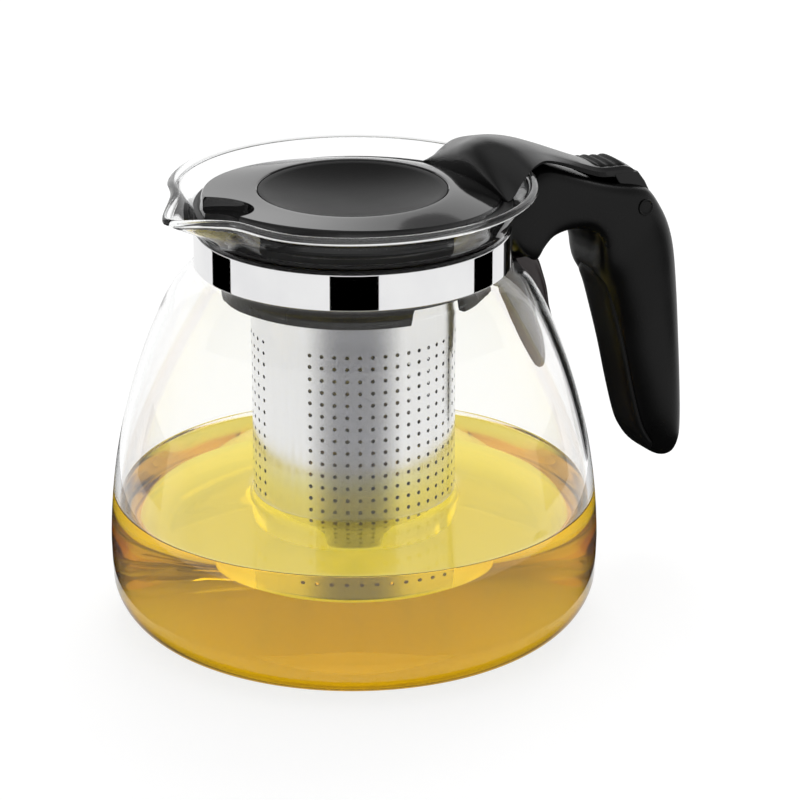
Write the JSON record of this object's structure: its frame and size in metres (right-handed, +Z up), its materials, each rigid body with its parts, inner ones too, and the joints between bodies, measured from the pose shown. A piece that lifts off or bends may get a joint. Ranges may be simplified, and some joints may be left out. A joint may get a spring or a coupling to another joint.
{
  "type": "glass teapot",
  "caption": "Glass teapot with a hanging handle, a lever-opened domed lid, a polished neck band and a tall perforated strainer that lifts out of the neck.",
  "frame": {"origin": "middle of the jug's flat base, on the table", "axes": "+Z up, +X towards the handle, -X towards the pouring lip, XZ is the plane of symmetry"},
  "size_m": [0.1981, 0.1524, 0.1478],
  "materials": {
    "glass": "clear, polished",
    "band": "mirror polished stainless",
    "fasteners": "plain",
    "handle": "satin moulded",
    "handle_trim": "satin moulded",
    "collar": "satin moulded",
    "seals": "soft silicone",
    "strainer": "polished perforated sheet",
    "lid": "glossy moulded",
    "lid_dish": "matt moulded",
    "lever": "satin moulded",
    "thumb_pad": "soft ridged inlay"
  },
  "bodies": {
    "pot": {"glass_jug": "glass", "neck_band": "band", "clamp_screw": "fasteners", "clamp_nut": "fasteners", "handle_shell": "handle", "handle_inner_cover": "handle_trim", "cover_screws": "fasteners", "cheek_caps": "handle_trim", "shoulder_rest": "handle_trim"},
    "insert": {"insert_collar": "collar", "collar_gasket": "seals"},
    "strainer": {"strainer_ring": "strainer", "strainer_wall": "strainer", "strainer_base": "strainer"},
    "lid": {"lid_plate": "lid", "lid_dish": "lid_dish", "lid_seal": "seals", "lid_screws": "fasteners", "lid_lever": "lever", "thumb_pad": "thumb_pad", "hinge_pin": "fasteners"}
  },
  "joints": [
    {"name": "insert_lift", "type": "slide", "parent": "pot", "child": "insert", "axis": [0, 0, 1], "range_m": [0, 0.125]},
    {"name": "lid_flip", "type": "hinge", "parent": "insert", "child": "lid", "pos_m": [0.0998, 0, 0.1204], "axis": [0, 1, 0], "range_deg": [0, 75]},
    {"name": "strainer_twist", "type": "hinge", "parent": "insert", "child": "strainer", "pos_m": [0, 0, 0.115], "axis": [0, 0, 1], "range_deg": [0, 24]}
  ]
}
